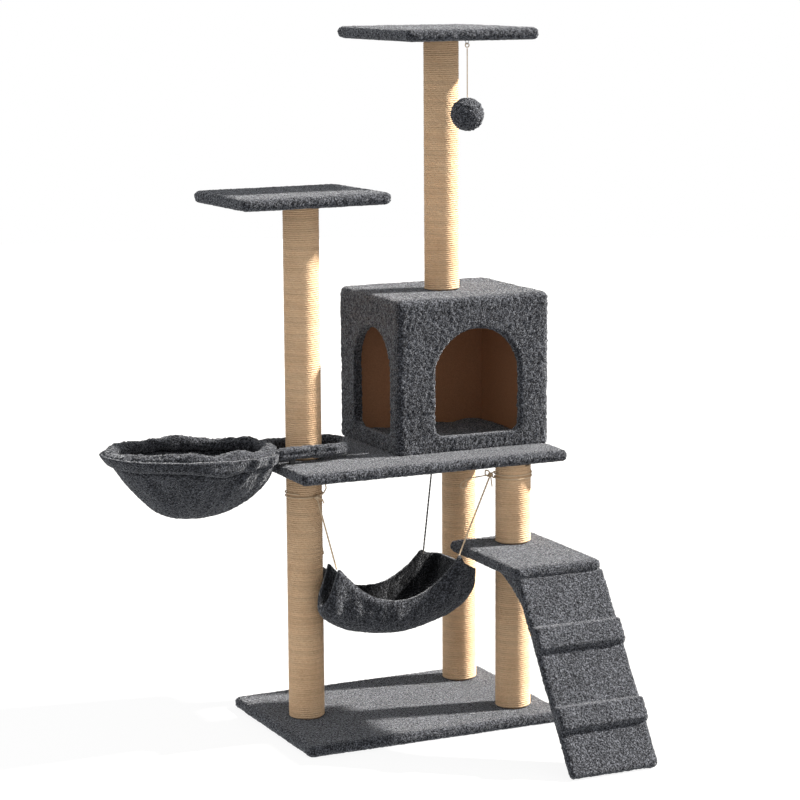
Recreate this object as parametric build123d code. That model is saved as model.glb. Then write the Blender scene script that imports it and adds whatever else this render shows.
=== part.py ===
from build123d import *
import os
from math import atan2, cos, radians, sin

os.makedirs("parts", exist_ok=True)

# A free-standing cat tree.  Origin: middle of the base's underside.  +X to the right
# along the base's long side, +Y to the back, +Z up.  Millimetres.

# ---- Stock -------------------------------------------------------------------------
BOARD = 12.0  # chipboard of every deck
PLUSH = 5.0  # plush pile glued over the boards
DECK = BOARD + 2 * PLUSH
CORNER = 12.0  # upright corners of a covered deck
RIM = 6.0  # rounded rims of a covered deck
POST_R = 35.0  # over the sisal
TUBE_R = 29.9  # outside of the cardboard tube
TUBE_WALL = 4.0
ROPE_INNER_R = 30.0
PLUG_R = 25.7
PLUG_LENGTH = 30.0
GAP = 0.3  # running clearance

# ---- Bolts (M8) ----------------------------------------------------------------------
BOLT_R = 4.0
BOLT_HOLE_R = 4.2
PLUG_HOLE_R = 4.1
HEAD_ACROSS_R = 7.4
HEAD_H = 5.3
WASHER_R = 9.0
WASHER_T = 1.6
COUNTERBORE_R = 10.0
COUNTERBORE_DEPTH = HEAD_H + WASHER_T + 0.3
BOLT_GRIP = 28.0  # shank past its seat
STUD_REACH = 24.0  # stud into each plug

# ---- Decks: x0, x1, y0, y1 and the height of the top ---------------------------------
BASE = (-274.0, 274.0, -194.0, 194.0, DECK)
MID = (-265.0, 299.0, -156.0, 187.0, 536.0)
STEP = (94.0, 279.0, -324.0, -42.0, 354.0)
PERCH = (-367.0, -61.0, -116.0, 121.0, 1051.0)
PERCH_TURN = 2.6  # degrees about its post
TOP = (-19.0, 262.0, -102.0, 227.0, 1353.0)

# ---- Posts ---------------------------------------------------------------------------
LEFT_POST = (-196.0, 3.0)
BACK_POST = (196.0, 120.0)
FRONT_POST = (200.0, -110.0)
ROOF_POST = (132.0, 65.0)

# ---- House ---------------------------------------------------------------------------
HOUSE = (-27.0, 301.0, -67.0, 208.0)
HOUSE_TOP = 837.0
HOUSE_SKIN = 6.0
PANEL = 9.0
HOUSE_EDGE = 11.0
FRONT_DOOR_X = 145.5
FRONT_DOOR_W = 188.0
SIDE_DOOR_Y = 53.0
SIDE_DOOR_W = 170.0
DOOR_SILL = 565.0
DOOR_CROWN = 777.0
DOOR_CORNER = 22.0
DOOR_LINING = 5.0
PAD_H = 12.0

# ---- Ramp ----------------------------------------------------------------------------
RAMP_X0, RAMP_X1 = 100.0, 283.0
RAMP_SLOPE = 56.5  # degrees below the horizontal
RAMP_T = 17.0
RAMP_SKIN = 4.0
RAMP_START = 4.5  # from the hinge pin down the slope
PIN_IN = 3.0  # pin behind the step's front edge
PIN_DOWN = 2.0  # pin below the step's underside
CLEATS = (97.0, 254.0)  # upper side of each cleat, down the slope from the step
CLEAT_W = 47.0
CLEAT_H = 13.0
HINGES = (140.0, 243.0)
HINGE_W = 36.0
LEAF_T = 1.2
LEAF_LENGTH = 24.0
HINGE_SCREW_X = 10.0
HINGE_SCREW_IN = 17.0
KNUCKLE_ROOM = 0.4
KNUCKLE_R = 2.5
PIN_R = 1.25

# ---- Basket --------------------------------------------------------------------------
RING_X = -232.0  # ring centre from the left post
RING_A, RING_B, RING_END_R = 157.0, 97.0, 76.0
RING_TILT = 2.6  # degrees, the far end up
ARM_Z = 561.0
ARM_SPREAD = 50.0  # each arm from the post's axis
ARM_TURN_X = 36.0  # centre of the arms' round end from the post
ARM_START_X = -80.0
TILT_X = -90.0
WIRE_R = 3.0
ROLL_R = 13.5
SLEEVE_R = 11.0
BAG_DEPTH = 108.0
BAG_WALL = 5.0
CLIP_PLACES = ((-45.0, -1), (-45.0, 1))
CLIP_W = 10.0
CLIP_T = 1.2

# ---- Hammock -------------------------------------------------------------------------
SWAY_DEGREES = 5.0
CLOTH_T = 6.0
CLOTH_Y0, CLOTH_Y1 = -122.0, 46.0
CLOTH_X0, CLOTH_X1 = -207.0, 112.0
CLOTH_PAST_POST = (-149.0, -75.0)  # where the left end steps back to pass the post
CLOTH_CORNER = 14.0
TIE_X0, TIE_X1 = -180.0, 76.0
TIE_Z = 340.0
LEFT_END_Z, RIGHT_END_Z = 270.0, 305.0  # tops of the drooping ends
RIM_SAG = (-54.0, 266.0)
BELLY_END_Z = 242.0
BELLY = (-50.0, 198.0)
CORD_R = 1.5
EYELET_GAP = 1.0  # round a cord where it passes the cloth
# cloth corner, knot on the post, and what the cord stops short of the knot
CORDS = {
    "hammock_cord_front_left": ((-180, -113, 339), (-186, -36, 465), 9),
    "hammock_cord_front_right": ((76, -120, 340), (160, -91, 488), 14),
    "hammock_cord_back_left": ((-142, 38, 334), (-169, 34, 472), 14),
    "hammock_cord_back_right": ((73, 34, 312), (143, 128, 500), 22),
}
KNOT_R = 5.0

# ---- Pompom --------------------------------------------------------------------------
POMPOM = (124.0, -65.0, 1190.0)
POMPOM_R = 32.0
POMPOM_CORD_R = 1.0
STAPLE_DROP = 8.0
STAPLE_HALF = 6.0
STAPLE_R = 0.8
LOOP_R = 4.0


def save(name, solid):
    solid.label = name
    export_step(solid, f"parts/{name}.step")


def group(solids):
    return Compound(children=list(solids))


def without(body, tools):
    """The body with each tool's room taken out of it."""
    for tool in tools:
        body -= tool
    return body


def slab(x0, x1, y0, y1, z0, z1):
    middle = Pos((x0 + x1) / 2, (y0 + y1) / 2, (z0 + z1) / 2)
    return middle * Box(x1 - x0, y1 - y0, z1 - z0)


def rod(x, y, z0, z1, radius):
    return Pos(x, y, (z0 + z1) / 2) * Cylinder(radius, z1 - z0)


def soft_slab(x0, x1, y0, y1, z0, z1, corner, rim):
    """A slab with rounded upright corners and rounded rims."""
    body = slab(x0, x1, y0, y1, z0, z1)
    body = fillet(body.edges().filter_by(Axis.Z), corner)
    levels = body.edges().group_by(Axis.Z)
    return fillet(levels[0] + levels[-1], rim)


# ---- Posts ---------------------------------------------------------------------------
def post(name, at, z0, z1):
    x, y = at
    tube = rod(x, y, z0, z1, TUBE_R) - rod(x, y, z0, z1, TUBE_R - TUBE_WALL)
    rope = rod(x, y, z0, z1, POST_R) - rod(x, y, z0, z1, ROPE_INNER_R)
    save(f"{name}_tube", tube)
    save(f"{name}_sisal", rope)
    plugs = []
    for low in (z0, z1 - PLUG_LENGTH):
        plug = rod(x, y, low, low + PLUG_LENGTH, PLUG_R)
        plugs.append(plug - rod(x, y, low, low + PLUG_LENGTH, PLUG_HOLE_R))
    return plugs


# ---- Fasteners -----------------------------------------------------------------------
def bolt(at, seat, way):
    """A hexagon bolt whose washer lies on seat; way is +1 if the shank points up."""
    x, y = at
    under_head = seat - way * WASHER_T
    head = extrude(RegularPolygon(HEAD_ACROSS_R, 6), -way * HEAD_H)
    shank_ends = sorted((under_head, seat + way * BOLT_GRIP))
    return Pos(x, y, under_head) * head + rod(x, y, *shank_ends, BOLT_R)


def washer(at, seat, way):
    z0, z1 = sorted((seat, seat - way * WASHER_T))
    return rod(*at, z0, z1, WASHER_R) - rod(*at, z0, z1, BOLT_HOLE_R)


def stud(at, z0, z1):
    return rod(*at, z0 - STUD_REACH, z1 + STUD_REACH, BOLT_R)


def screw(place, length, head_r=3.6, shank_r=1.75):
    """A countersunk wood screw pointing along the place's own -Z, head flush at its origin."""
    head_h = head_r - shank_r
    head = Pos(0, 0, -head_h / 2) * Cone(shank_r, head_r, head_h)
    shank = Pos(0, 0, -length / 2 - head_h / 2) * Cylinder(shank_r, length - head_h)
    return place * (head + shank)


# ---- Decks ---------------------------------------------------------------------------
def deck(size, holes=(), bored_from_above=(), bored_from_below=(), turn=None):
    """The board and its plush cover; bolt heads lie in counterbores in the board."""
    x0, x1, y0, y1, top = size
    z0 = top - DECK
    board = slab(x0 + PLUSH, x1 - PLUSH, y0 + PLUSH, y1 - PLUSH, z0 + PLUSH, top - PLUSH)
    board = fillet(board.edges().filter_by(Axis.Z), CORNER - PLUSH)
    cover = soft_slab(x0, x1, y0, y1, z0, top, CORNER, RIM)
    if turn:
        (px, py), angle = turn
        spin = Pos(px, py, 0) * Rot(0, 0, angle) * Pos(-px, -py, 0)
        board, cover = spin * board, spin * cover
    cover -= board
    for at in holes:
        through = rod(*at, z0 - 1, top + 1, BOLT_HOLE_R)
        board -= through
        cover -= through
    for at in bored_from_above:
        board -= rod(*at, z0, top, BOLT_HOLE_R)
        board -= rod(*at, top - PLUSH - COUNTERBORE_DEPTH, top, COUNTERBORE_R)
        cover -= rod(*at, z0 - 1, z0 + PLUSH, BOLT_HOLE_R)
    for at in bored_from_below:
        board -= rod(*at, z0, top, BOLT_HOLE_R)
        board -= rod(*at, z0, z0 + PLUSH + COUNTERBORE_DEPTH, COUNTERBORE_R)
        cover -= rod(*at, z0 + PLUSH + 1, top + 1, BOLT_HOLE_R)
        cover -= rod(*at, z0 - 1, z0 + PLUSH + 1, COUNTERBORE_R)
    return board, cover


# ---- House ---------------------------------------------------------------------------
def doorway(width, sill, crown, corner):
    """Straight sides, a half-round head and rounded lower corners."""
    r = width / 2
    spring = crown - r
    sides = Polyline((-r, spring), (-r, sill), (r, sill), (r, spring))
    head = ThreePointArc((r, spring), (0, crown), (-r, spring))
    face = make_face(Curve() + [sides, head])
    return fillet(face.vertices().group_by(Axis.Y)[0], corner)


def front_hole(grow, y0, y1):
    face = doorway(
        FRONT_DOOR_W + 2 * grow, DOOR_SILL - grow, DOOR_CROWN + grow, DOOR_CORNER + grow
    )
    place = Plane(origin=(FRONT_DOOR_X, y1, 0), x_dir=(1, 0, 0), z_dir=(0, -1, 0))
    return place * extrude(face, y1 - y0)


def side_hole(grow, x0, x1):
    face = doorway(
        SIDE_DOOR_W + 2 * grow, DOOR_SILL - grow, DOOR_CROWN + grow, DOOR_CORNER + grow
    )
    place = Plane(origin=(x0, SIDE_DOOR_Y, 0), x_dir=(0, 1, 0), z_dir=(1, 0, 0))
    return place * extrude(face, x1 - x0)


def house(floor):
    x0, x1, y0, y1 = HOUSE
    px0, px1, py0, py1 = x0 + HOUSE_SKIN, x1 - HOUSE_SKIN, y0 + HOUSE_SKIN, y1 - HOUSE_SKIN
    roof0, roof1 = HOUSE_TOP - HOUSE_SKIN - PANEL, HOUSE_TOP - HOUSE_SKIN
    ix0, ix1, iy0, iy1 = px0 + PANEL, px1 - PANEL, py0 + PANEL, py1 - PANEL
    front_panel = slab(ix0, ix1, py0, iy0, floor, roof0) - front_hole(
        DOOR_LINING, py0 - 1, iy0 + 1
    )
    left_panel = slab(px0, ix0, py0, py1, floor, roof0) - side_hole(
        DOOR_LINING, px0 - 1, ix0 + 1
    )
    right_panel = slab(ix1, px1, py0, py1, floor, roof0)
    roof = slab(px0, px1, py0, py1, roof0, roof1) - rod(*ROOF_POST, roof0, roof1, BOLT_HOLE_R)
    screws = []
    for x in (px0 + PANEL / 2, px1 - PANEL / 2):
        for y in (py0 + 30, py1 - 30):
            up = Pos(x, y, floor - PLUSH - BOARD) * Rot(180, 0, 0)
            down = Pos(x, y, roof1)
            screws += [screw(up, 40), screw(down, 30)]
    save("house_front_panel", front_panel)
    save("house_left_panel", without(left_panel, screws))
    save("house_right_panel", without(right_panel, screws))
    save("house_back_panel", slab(ix0, ix1, iy1, py1, floor, roof0))
    save("house_roof_panel", without(roof, screws))
    skin = slab(x0, x1, y0, y1, floor, HOUSE_TOP)
    upper = skin.faces().sort_by(Axis.Z)[-1].edges()
    skin = fillet(skin.edges().filter_by(Axis.Z) + upper, HOUSE_EDGE)
    skin -= slab(px0, px1, py0, py1, floor, roof1)
    skin -= front_hole(0, y0 - 1, py0 + 1)
    skin -= side_hole(0, x0 - 1, px0 + 1)
    skin -= rod(*ROOF_POST, roof0, HOUSE_TOP + 1, BOLT_HOLE_R)
    skin += front_hole(DOOR_LINING, py0, iy0) - front_hole(0, py0 - 1, iy0 + 1)
    skin += side_hole(DOOR_LINING, px0, ix0) - side_hole(0, px0 - 1, ix0 + 1)
    save("house_cover", skin)
    pad = soft_slab(ix0 + 2, ix1 - 2, iy0 + 2, iy1 - 2, floor, floor + PAD_H, 8, 4)
    save("house_floor_pad", pad)
    return screws, roof0


# ---- Ramp ----------------------------------------------------------------------------
def ramp(step_front, step_under):
    """Everything is drawn down the slope (-y) and out of it (+z) from the hinge pin."""
    slope = radians(RAMP_SLOPE)
    outward = (0, -sin(slope), cos(slope))
    pin_y, pin_z = step_front + PIN_IN, step_under - PIN_DOWN
    edge_out = PIN_IN * sin(slope) + PIN_DOWN * cos(slope)
    face = edge_out
    back = face - RAMP_T
    edge_along = PIN_DOWN * sin(slope) - PIN_IN * cos(slope)
    length = (pin_z + back * cos(slope)) / sin(slope)
    at = Plane(
        origin=((RAMP_X0 + RAMP_X1) / 2, pin_y, pin_z), x_dir=(1, 0, 0), z_dir=outward
    )
    half = (RAMP_X1 - RAMP_X0) / 2
    tops = [s - edge_along for s in CLEATS]

    cover = slab(-half, half, -length, -RAMP_START, back, face)
    cover = fillet(cover.edges().filter_by(Axis.X), RIM)
    for s in tops:
        bump = slab(-half, half, -s - CLEAT_W, -s, back + 3, face + CLEAT_H)
        high = bump.edges().filter_by(Axis.X).group_by(Axis.Z)[-1]
        cover += fillet(high, RIM)
    board = slab(
        -half + RAMP_SKIN, half - RAMP_SKIN, -length + RAMP_SKIN, -RAMP_START - RAMP_SKIN,
        back + RAMP_SKIN, face - RAMP_SKIN,
    )
    cleats = []
    for s in tops:
        low, high = face - RAMP_SKIN, face + CLEAT_H - RAMP_SKIN
        bar = slab(
            -half + RAMP_SKIN, half - RAMP_SKIN, -s - CLEAT_W + RAMP_SKIN, -s - RAMP_SKIN,
            low, high,
        )
        cleats.append(bar)
        cover -= bar
    cover -= board

    # Each hinge has one leaf on the ramp board's face and one on the step board's front edge.
    def across(x, radius, width):
        return Pos(x, 0, 0) * Rot(0, 90, 0) * Cylinder(radius, width)

    third = HINGE_W / 3
    leaf_back = face - RAMP_SKIN
    leaves, pins, screws = [], [], []
    for hinge_x in HINGES:
        x = hinge_x - (RAMP_X0 + RAMP_X1) / 2
        x0, x1 = x - HINGE_W / 2, x + HINGE_W / 2
        leaf = slab(x0, x1, -LEAF_LENGTH, 0, leaf_back, leaf_back + LEAF_T)
        for side in (-third, third):
            leaf -= across(x + side, KNUCKLE_R + KNUCKLE_ROOM, third + 2 * GAP)
        both = [
            screw(Pos(x + dx, -HINGE_SCREW_IN, leaf_back + LEAF_T), 8, 2.4, 1.2)
            for dx in (-HINGE_SCREW_X, HINGE_SCREW_X)
        ]
        leaf += across(x, KNUCKLE_R, third - 2 * GAP)
        leaf -= across(x, PIN_R + 0.1, HINGE_W)
        leaves.append(without(leaf, both))
        pins.append(across(x, PIN_R, HINGE_W))
        screws += both
        cover -= slab(x0 - 1, x1 + 1, -LEAF_LENGTH - 1, 0, leaf_back, leaf_back + LEAF_T + GAP)
        cover -= across(x, KNUCKLE_R + 1, HINGE_W + 2)
    save("ramp_board", at * without(board, screws))
    save("ramp_cleats", group(at * bar for bar in cleats))
    save("ramp_cover", at * cover)
    save("ramp_hinge_ramp_leaves", group(at * leaf for leaf in leaves))
    save("ramp_hinge_ramp_screws", group(at * one for one in screws))
    save("ramp_hinge_pins", group(at * pin for pin in pins))

    step_leaves, step_screws, pockets = [], [], []
    board_front = step_front + PLUSH
    pin_line = Pos(0, pin_y, pin_z)
    leaf_top = step_under + PLUSH + BOARD - 1
    for x in HINGES:
        x0, x1 = x - HINGE_W / 2, x + HINGE_W / 2
        leaf = slab(x0, x1, board_front - LEAF_T, board_front, pin_z, leaf_top)
        leaf -= pin_line * across(x, KNUCKLE_R + KNUCKLE_ROOM, third)
        for side in (-third, third):
            leaf += pin_line * across(x + side, KNUCKLE_R, third)
        leaf -= pin_line * across(x, PIN_R + 0.1, HINGE_W + 2)
        both = [
            screw(
                Pos(x + dx, board_front - LEAF_T, step_under + PLUSH + BOARD / 2)
                * Rot(90, 0, 0), 10, 2.4, 1.2,
            )
            for dx in (-HINGE_SCREW_X, HINGE_SCREW_X)
        ]
        step_leaves.append(without(leaf, both))
        step_screws += both
        pockets.append(
            slab(
                x0 - GAP, x1 + GAP, board_front - LEAF_T - GAP, board_front,
                step_under - 1, step_under + PLUSH + BOARD,
            )
        )
        pockets.append(pin_line * across(x, KNUCKLE_R + 1, HINGE_W + 2))
    save("ramp_hinge_step_leaves", group(step_leaves))
    save("ramp_hinge_step_screws", group(step_screws))
    return pockets, step_screws


# ---- Basket --------------------------------------------------------------------------
def oval(a, b, r):
    """A closed oval of four tangent arcs: two ends of radius r, two flat sides."""
    big = ((a - r) ** 2 + b**2 - r**2) / (2 * (b - r))
    drop = big - b
    run = atan2(drop, a - r)
    tx, ty = a - r + r * cos(run), r * sin(run)
    arcs = [
        ThreePointArc((tx, -ty), (a, 0), (tx, ty)),
        ThreePointArc((tx, ty), (0, b), (-tx, ty)),
        ThreePointArc((-tx, ty), (-a, 0), (-tx, -ty)),
        ThreePointArc((-tx, -ty), (0, -b), (tx, -ty)),
    ]
    return Wire([arc.edge() for arc in arcs])


def tube_along(path, radius):
    start = Plane(origin=path @ 0, z_dir=path % 0)
    return sweep(start * Circle(radius), path=path, transition=Transition.ROUND)


def basket():
    px, py = LEFT_POST
    here = Pos(px, py, ARM_Z)
    lift = Pos(TILT_X, 0, 0) * Rot(0, RING_TILT, 0) * Pos(RING_X - TILT_X, 0, 0)
    ring_path = oval(RING_A, RING_B, RING_END_R)
    ring = tube_along(ring_path, WIRE_R)
    ring_bore = tube_along(ring_path, WIRE_R + 0.2)
    roll = tube_along(ring_path, ROLL_R) - ring_bore

    start, turn, spread = ARM_START_X, ARM_TURN_X, ARM_SPREAD
    arm_path = Wire(
        [
            Line((start, -spread), (turn, -spread)).edge(),
            ThreePointArc((turn, -spread), (turn + spread, 0), (turn, spread)).edge(),
            Line((turn, spread), (start, spread)).edge(),
        ]
    )
    arms = tube_along(arm_path, WIRE_R)
    sleeve = tube_along(arm_path, SLEEVE_R) - tube_along(arm_path, WIRE_R + 0.2)

    outer = scale(Sphere(1), by=(RING_A + BAG_WALL / 2, RING_B + BAG_WALL / 2, BAG_DEPTH))
    inner = scale(
        Sphere(1),
        by=(RING_A - BAG_WALL / 2, RING_B - BAG_WALL / 2, BAG_DEPTH - BAG_WALL),
    )
    below = slab(-300, 300, -200, 200, -300, 0)
    bag = Pos(0, 0, -ROLL_R - 0.2) * ((outer - inner) & below)

    arm_room = tube_along(arm_path, SLEEVE_R + 0.2)
    roll -= lift.inverse() * arm_room
    clips, screws, cut = [], [], []
    foot_z = MID[4] - ARM_Z
    for x, side in CLIP_PLACES:
        y = side * ARM_SPREAD
        saddle_r = WIRE_R + 0.2 + CLIP_T
        saddle = Pos(x, y, 0) * Rot(0, 90, 0) * Cylinder(saddle_r, CLIP_W)
        legs = slab(x - CLIP_W / 2, x + CLIP_W / 2, y - saddle_r, y + saddle_r, foot_z, 0)
        room = Pos(x, y, 0) * Rot(0, 90, 0) * Cylinder(WIRE_R + 0.2, CLIP_W + 2)
        inside = slab(x - 9, x + 9, y - saddle_r + CLIP_T, y + saddle_r - CLIP_T, foot_z - 1, 0)
        flange = slab(
            x - CLIP_W / 2, x + CLIP_W / 2, y - saddle_r - 12, y + saddle_r + 12,
            foot_z, foot_z + CLIP_T,
        )
        clip = saddle + legs + flange - room - inside
        both = [
            screw(Pos(x, y + s * (saddle_r + 7), foot_z + CLIP_T), 14, 2.6, 1.4)
            for s in (-1, 1)
        ]
        clips.append(here * (clip - both))
        screws += [here * one for one in both]
        cut.append(saddle + legs)
    sleeve = without(sleeve, cut)
    save("basket_ring_wire", here * lift * ring)
    save("basket_ring_roll", here * lift * roll)
    save("basket_arm_wire", here * arms)
    save("basket_arm_sleeve", here * sleeve)
    save("basket_bag", here * lift * bag)
    save("basket_clips", group(clips))
    return screws


# ---- Hammock -------------------------------------------------------------------------
def hammock():
    """A sling of plush cloth: raised at its four ties, sagging between, drooping past them."""

    def side_view(inset, top):
        left, right = CLOTH_X0 + inset, CLOTH_X1 - inset
        floor = BELLY_END_Z + inset
        under = ThreePointArc((right, floor), (BELLY[0], BELLY[1] + inset), (left, floor))
        if top:
            over = [Polyline((left, floor), (left, top), (right, top), (right, floor))]
        else:
            over = [
                Polyline((left, floor), (left, LEFT_END_Z), (TIE_X0, TIE_Z)),
                ThreePointArc((TIE_X0, TIE_Z), RIM_SAG, (TIE_X1, TIE_Z)),
                Polyline((TIE_X1, TIE_Z), (right, RIGHT_END_Z), (right, floor)),
            ]
        place = Plane(origin=(0, CLOTH_Y1, 0), x_dir=(1, 0, 0), z_dir=(0, -1, 0))
        face = make_face(Curve() + [under] + over)
        return place * extrude(face, CLOTH_Y1 - CLOTH_Y0)

    def plan(inset):
        post_x, post_y = CLOTH_PAST_POST
        outline = Polyline(
            (CLOTH_X0 + inset, CLOTH_Y0 + inset), (CLOTH_X1 - inset, CLOTH_Y0 + inset),
            (CLOTH_X1 - inset, CLOTH_Y1 - inset), (post_x + inset, CLOTH_Y1 - inset),
            (post_x + inset, post_y - inset), (CLOTH_X0 + inset, post_y - inset), close=True,
        )
        face = make_face(outline)
        return extrude(fillet(face.vertices(), CLOTH_CORNER - inset), 500)

    inside = side_view(CLOTH_T, 2 * TIE_Z) & plan(CLOTH_T)
    sling = (side_view(0, None) & plan(0)) - inside
    knots = []
    for name, (low, high, short) in CORDS.items():
        a, b = Vector(*low), Vector(*high)
        way = (b - a).normalized()
        start, end = a + way * 3, b - way * short
        line = Plane(origin=start, z_dir=way) * Pos(0, 0, (end - start).length / 2)
        save(name, line * Cylinder(CORD_R, (end - start).length))
        sling -= line * Cylinder(CORD_R + EYELET_GAP, (end - start).length)
        knots.append(Pos(*high) * Sphere(KNOT_R))
        print(name, "length to the knot", round((b - a).length, 1))
    save("hammock_cloth", sling)
    print("hammock centre of mass", sling.center(CenterOf.MASS))
    loops = []
    loop_r = POST_R + CORD_R + GAP
    for (px, py), heights in (
        (LEFT_POST, (457.0, 476.0)), (BACK_POST, (507.0,)), (FRONT_POST, (479.0, 498.0)),
    ):
        for z in heights:
            loops.append(without(Pos(px, py, z) * Torus(loop_r, CORD_R), knots))
    save("hammock_post_loops", group(loops))
    save("hammock_knots", group(knots))


# ---- Pompom --------------------------------------------------------------------------
def pompom(deck_under):
    x, y, z = POMPOM
    bar_z = deck_under - STAPLE_DROP
    ends = y - STAPLE_HALF, y + STAPLE_HALF
    tip_z = deck_under + PLUSH + 6
    path = FilletPolyline(
        (x, ends[0], tip_z), (x, ends[0], bar_z), (x, ends[1], bar_z), (x, ends[1], tip_z),
        radius=2,
    )
    staple = tube_along(path, STAPLE_R)
    save("pompom_staple", staple)
    loop_z = bar_z - (LOOP_R - POMPOM_CORD_R - STAPLE_R - GAP)
    loop = Pos(x, y, loop_z) * Rot(90, 0, 0) * Torus(LOOP_R, POMPOM_CORD_R)
    save("pompom_tie_loop", loop)
    flex_z = loop_z - LOOP_R
    cord_top, cord_end = flex_z - 2 * POMPOM_CORD_R, z + POMPOM_R
    save("pompom_cord", rod(x, y, cord_end, cord_top, POMPOM_CORD_R))
    save("pompom_ball", Pos(x, y, z) * Sphere(POMPOM_R))
    return staple


# ---- Assembly ------------------------------------------------------------------------
mid_under = MID[4] - DECK
step_under = STEP[4] - DECK
perch_under = PERCH[4] - DECK
top_under = TOP[4] - DECK

plugs = post("left_lower_post", LEFT_POST, BASE[4], mid_under)
plugs += post("left_upper_post", LEFT_POST, MID[4], perch_under)
plugs += post("back_right_post", BACK_POST, BASE[4], mid_under)
plugs += post("front_right_lower_post", FRONT_POST, BASE[4], step_under)
plugs += post("front_right_upper_post", FRONT_POST, STEP[4], mid_under)
plugs += post("roof_post", ROOF_POST, HOUSE_TOP, top_under)
save("post_end_plugs", group(plugs))

lower_posts = (LEFT_POST, BACK_POST, FRONT_POST)
base_board, base_cover = deck(BASE, bored_from_below=lower_posts)
mid_board, mid_cover = deck(
    MID, holes=(LEFT_POST,), bored_from_above=(BACK_POST, FRONT_POST)
)
step_board, step_cover = deck(STEP, holes=(FRONT_POST,))
perch_board, perch_cover = deck(
    PERCH, bored_from_above=(LEFT_POST,), turn=(LEFT_POST, PERCH_TURN)
)
top_board, top_cover = deck(TOP, bored_from_above=(ROOF_POST,))

house_screws, roof_under = house(MID[4])
hinge_pockets, hinge_screws = ramp(STEP[2], step_under)
clip_screws = basket()
hammock()
staple = pompom(top_under)

seats = [(at, PLUSH + COUNTERBORE_DEPTH, 1) for at in lower_posts]
sunk = PLUSH + COUNTERBORE_DEPTH
bolted_down = ((BACK_POST, MID), (FRONT_POST, MID), (LEFT_POST, PERCH), (ROOF_POST, TOP))
seats += [(at, size[4] - sunk, -1) for at, size in bolted_down]
seats.append((ROOF_POST, roof_under, 1))
save("post_bolts", group(bolt(*seat) for seat in seats))
save("post_washers", group(washer(*seat) for seat in seats))
studs = [stud(LEFT_POST, mid_under, MID[4]), stud(FRONT_POST, step_under, STEP[4])]
save("post_studs", group(studs))
save("house_screws", group(house_screws))
save("basket_clip_screws", group(clip_screws))

mid_screws = house_screws + clip_screws
save("base_board", base_board)
save("base_cover", base_cover)
save("platform_board", without(mid_board, mid_screws))
save("platform_cover", without(mid_cover, mid_screws))
save("step_board", without(step_board, hinge_screws))
save("step_cover", without(step_cover, hinge_pockets))
save("perch_board", perch_board)
save("perch_cover", perch_cover)
save("top_board", top_board - staple)
save("top_cover", top_cover - staple)
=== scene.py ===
from math import ceil, cos, pi, radians, sin

import bpy
import numpy as np
from mathutils import Matrix, Vector, noise


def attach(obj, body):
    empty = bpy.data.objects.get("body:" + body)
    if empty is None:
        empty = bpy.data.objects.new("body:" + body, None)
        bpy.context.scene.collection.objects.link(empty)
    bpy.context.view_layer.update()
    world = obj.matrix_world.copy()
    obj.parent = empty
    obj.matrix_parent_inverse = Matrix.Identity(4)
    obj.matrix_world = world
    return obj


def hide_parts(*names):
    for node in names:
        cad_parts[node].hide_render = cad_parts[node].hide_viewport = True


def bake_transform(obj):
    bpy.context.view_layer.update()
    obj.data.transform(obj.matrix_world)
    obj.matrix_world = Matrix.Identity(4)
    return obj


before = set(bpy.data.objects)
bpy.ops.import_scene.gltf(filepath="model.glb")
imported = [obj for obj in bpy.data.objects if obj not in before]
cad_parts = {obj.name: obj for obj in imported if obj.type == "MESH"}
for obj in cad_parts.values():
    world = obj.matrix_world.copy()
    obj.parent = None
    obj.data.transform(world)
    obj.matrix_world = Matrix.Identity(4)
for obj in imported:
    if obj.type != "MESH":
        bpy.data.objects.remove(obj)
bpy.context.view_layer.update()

MM = 0.001
FLOOR_Z = 0.0002

# ---- The part's own sizes, in millimetres -------------------------------------------
# A deck is (x0, x1, y0, y1, top); a post is the (x, y) of its axis.
DECK = 22
BASE = (-274, 274, -194, 194, 22)
MID = (-265, 299, -156, 187, 536)
STEP = (94, 279, -324, -42, 354)
PERCH = (-367, -61, -116, 121, 1051)
PERCH_TURN = 2.6
TOP = (-19, 262, -102, 227, 1353)
DECK_CORNER, DECK_RIM = 12, 9

LEFT_POST, BACK_POST, FRONT_POST, ROOF_POST = (-196, 3), (196, 120), (200, -110), (132, 65)
POST_R = 35.1
ROPE_R, ROPE_PITCH = 2.5, 4.1
HOUSE_ROOF_Z = 837

PAD = (-10, 284, -50, 191, 548)
PAD_LOW = 536.4

# The hinge pin lies behind and below the step's lower front edge.
RAMP_X, RAMP_SLOPE, RAMP_T, RAMP_LENGTH = (100, 283), radians(56.5), 17, 386.9
RAMP_PIN, PIN_BEHIND, PIN_BELOW = (-321, 330), 3, 2
RAMP_FACE = PIN_BEHIND * sin(RAMP_SLOPE) + PIN_BELOW * cos(RAMP_SLOPE)
CLEATS, CLEAT_W, CLEAT_H = (97, 254), 47, 13

RING_X, RING_A, RING_B, RING_POWER = -232, 157, 97, 2.18
RING_TILT, TILT_X, ARM_Z = 2.6, -90, 561
ROLL_R, SLEEVE_R = 13.5, 10.6
BAG_DEPTH, BAG_CLOTH, BAG_SLANT = 121.7, 4.5, 13

CLOTH_X, CLOTH_Y = (-205, 112), (-122, 46)
CLOTH_PAST_POST = (-149, -78)
CLOTH_CORNER, CLOTH_T = 22, 5.5
TIES_X, TIE_Z = (-180, 76), 342.0
LEFT_END_Z, RIGHT_END_Z, RIM_SAG = 266, 308, 76
BELLY_AT, BELLY_Z = (-50.0, -44.0), 199
BELLY_RISE, BELLY_HALF = 43, 165
CORD_R, WRAP_R = 1.6, 36.2

POMPOM, POMPOM_R, POMPOM_TOP_Z = (124, -65, 1190), 32, 1315.1


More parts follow.
